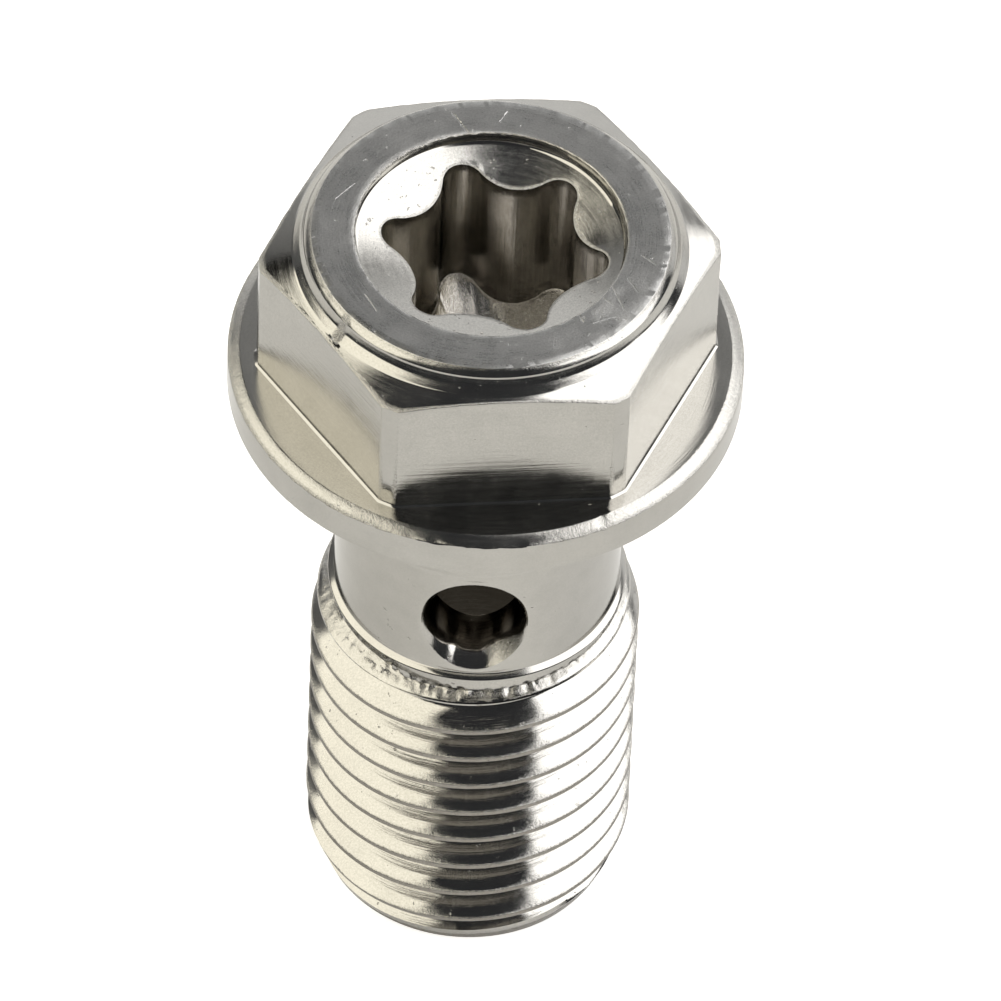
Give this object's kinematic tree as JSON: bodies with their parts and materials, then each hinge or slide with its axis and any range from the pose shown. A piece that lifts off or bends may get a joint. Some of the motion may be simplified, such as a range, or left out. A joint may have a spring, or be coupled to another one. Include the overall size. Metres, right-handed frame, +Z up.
{
  "type": "banjo bolt",
  "caption": "Flanged hexagon-head banjo bolt with a six-lobe socket, a relieved neck, a cross hole through it and a blind oil bore up from the threaded end.",
  "frame": {"origin": "centre of the threaded end's flat face, on the bolt's centre line", "axes": "+Z up the centre line towards the head, -Y out of the front mouth of the cross hole, +X to its right seen from the front"},
  "size_m": [0.0152, 0.0152, 0.027],
  "materials": {
    "steel": "bright turned steel, lightly brushed on the flats, with a thin zinc flash"
  },
  "bodies": {
    "root": {"banjo_bolt": "steel"}
  },
  "joints": []
}
